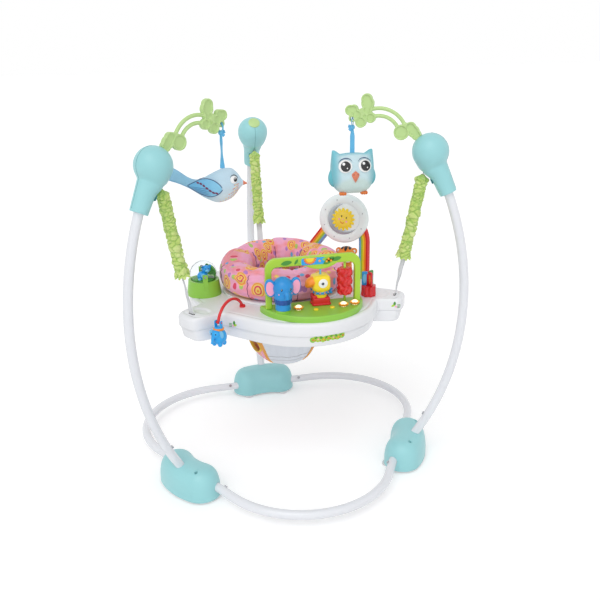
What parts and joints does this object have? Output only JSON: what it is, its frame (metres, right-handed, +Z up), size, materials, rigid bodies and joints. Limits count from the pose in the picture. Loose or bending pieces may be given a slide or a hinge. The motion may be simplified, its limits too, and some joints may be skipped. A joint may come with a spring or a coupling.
{
  "type": "baby jumper frame",
  "caption": "Free-standing baby jumper: bowed posts on a rounded floor ring carry a toy tray with a turning cloth seat on sleeved springs.",
  "frame": {"origin": "floor under the middle of the object's box, on its left-right symmetry plane", "axes": "+Z up, -Y the front with the console, +X the right as seen from the front"},
  "size_m": [0.8118, 0.878, 0.928],
  "materials": {
    "white_tube": "satin",
    "white_plastic": "satin",
    "teal_plastic": "satin",
    "leaf_plastic": "satin",
    "console_plastic": "satin",
    "steel": "satin",
    "sleeve_cloth": "matte",
    "webbing": "matte",
    "seat_cloth": "matte",
    "blue_plush": "matte",
    "orange_plush": "matte",
    "ribbon_cloth": "satin",
    "blue_plastic": "gloss",
    "yellow_plastic": "gloss",
    "orange_plastic": "gloss",
    "red_plastic": "gloss",
    "clear_plastic": "gloss",
    "board": "matte",
    "rubber_pad": "matte"
  },
  "bodies": {
    "frame": {"front_base_tube": "white_tube", "right_base_tube": "white_tube", "left_base_tube": "white_tube", "left_post": "white_tube", "right_post": "white_tube", "rear_post": "white_tube", "left_hub_cover": "teal_plastic", "right_hub_cover": "teal_plastic", "rear_hub_cover": "teal_plastic", "hub_soles": "white_plastic", "foot_pads": "rubber_pad", "frame_screws": "steel", "left_head_shells": "teal_plastic", "right_head_shells": "teal_plastic", "rear_head_shells": "teal_plastic", "spring_pins": "steel", "left_toy_arm": "leaf_plastic", "right_toy_arm": "leaf_plastic", "rear_socket_cap": "leaf_plastic", "springs": "steel", "left_sleeve": "sleeve_cloth", "right_sleeve": "sleeve_cloth", "rear_sleeve": "sleeve_cloth"},
    "tray": {"tray_top": "white_plastic", "tray_bottom": "white_plastic", "tray_screws": "steel", "left_strap": "webbing", "right_strap": "webbing", "rear_strap": "webbing", "console_base": "console_plastic", "console_arch": "console_plastic", "lamp_lenses": "clear_plastic", "sound_module": "board", "batteries": "steel", "battery_door": "white_plastic", "parrot_perch": "red_plastic", "rainbow_stand": "white_plastic", "tiger_figure": "orange_plastic", "ball_cradle": "console_plastic", "toy_stem": "red_plastic"},
    "seat": {"seat_ring": "white_plastic", "seat_lower_ring": "white_plastic", "seat_collar": "seat_cloth", "seat_sling": "seat_cloth"},
    "elephant": {"elephant_figure": "blue_plastic"},
    "parrot": {"parrot_figure": "yellow_plastic"},
    "spinner": {"fluted_spinner": "red_plastic"},
    "sun": {"sun_disc": "yellow_plastic"},
    "ball": {"clear_ball": "clear_plastic", "ball_figure": "blue_plastic"},
    "drum": {"picture_drum": "red_plastic"},
    "calf": {"hanging_elephant": "blue_plastic"},
    "left_button": {"left_button": "yellow_plastic"},
    "right_button": {"right_button": "yellow_plastic"},
    "bird": {"bird_body": "blue_plush", "bird_wings": "blue_plush", "bird_ribbon": "ribbon_cloth"},
    "owl": {"owl_body": "blue_plush", "owl_limbs": "orange_plush", "owl_ribbon": "ribbon_cloth"}
  },
  "joints": [
    {"name": "tray_bounce", "type": "slide", "parent": "frame", "child": "tray", "axis": [0, 0, 1], "range_m": [-0.08, 0.05], "stiffness_N_per_m": 1800, "springref_m": 0.0271, "deforming": ["springs", "left_sleeve", "right_sleeve", "rear_sleeve"]},
    {"name": "seat_spin", "type": "hinge", "parent": "tray", "child": "seat", "pos_m": [0, -0.02803, 0.448], "axis": [0, 0, 1], "continuous": true},
    {"name": "elephant_swivel", "type": "hinge", "parent": "tray", "child": "elephant", "pos_m": [-0.05, -0.252, 0.47], "axis": [0, 0, 1], "range_deg": [-15, 15]},
    {"name": "parrot_spin", "type": "hinge", "parent": "tray", "child": "parrot", "pos_m": [0.045, -0.225, 0.5], "axis": [0, 0, 1], "continuous": true},
    {"name": "spinner_spin", "type": "hinge", "parent": "tray", "child": "spinner", "pos_m": [0.104, -0.225, 0.5], "axis": [0, 0, 1], "continuous": true},
    {"name": "sun_spin", "type": "hinge", "parent": "tray", "child": "sun", "pos_m": [0.16892, -0.00907, 0.61], "axis": [-0.454, -0.891, 0], "continuous": true},
    {"name": "ball_spin", "type": "hinge", "parent": "tray", "child": "ball", "pos_m": [-0.203, -0.02803, 0.5], "axis": [0, 1, 0], "continuous": true},
    {"name": "drum_spin", "type": "hinge", "parent": "tray", "child": "drum", "pos_m": [0.186, -0.16, 0.47], "axis": [0, 0, 1], "continuous": true},
    {"name": "calf_swing", "type": "hinge", "parent": "tray", "child": "calf", "pos_m": [-0.19636, -0.22439, 0.44047], "axis": [0.7071, -0.7071, 0], "range_deg": [-12, 12]},
    {"name": "left_button_press", "type": "slide", "parent": "tray", "child": "left_button", "axis": [0, 0, 1], "range_m": [-0.0025, 0], "stiffness_N_per_m": 200, "springref_m": 0.001},
    {"name": "right_button_press", "type": "slide", "parent": "tray", "child": "right_button", "axis": [0, 0, 1], "range_m": [-0.0025, 0], "stiffness_N_per_m": 200, "springref_m": 0.001},
    {"name": "bird_swing", "type": "hinge", "parent": "frame", "child": "bird", "pos_m": [-0.15461, -0.11729, 0.871], "axis": [0.5, -0.866, 0], "range_deg": [-12, 12]},
    {"name": "owl_swing", "type": "hinge", "parent": "frame", "child": "owl", "pos_m": [0.15461, -0.11729, 0.871], "axis": [0.5, 0.866, 0], "range_deg": [-12, 12]}
  ]
}
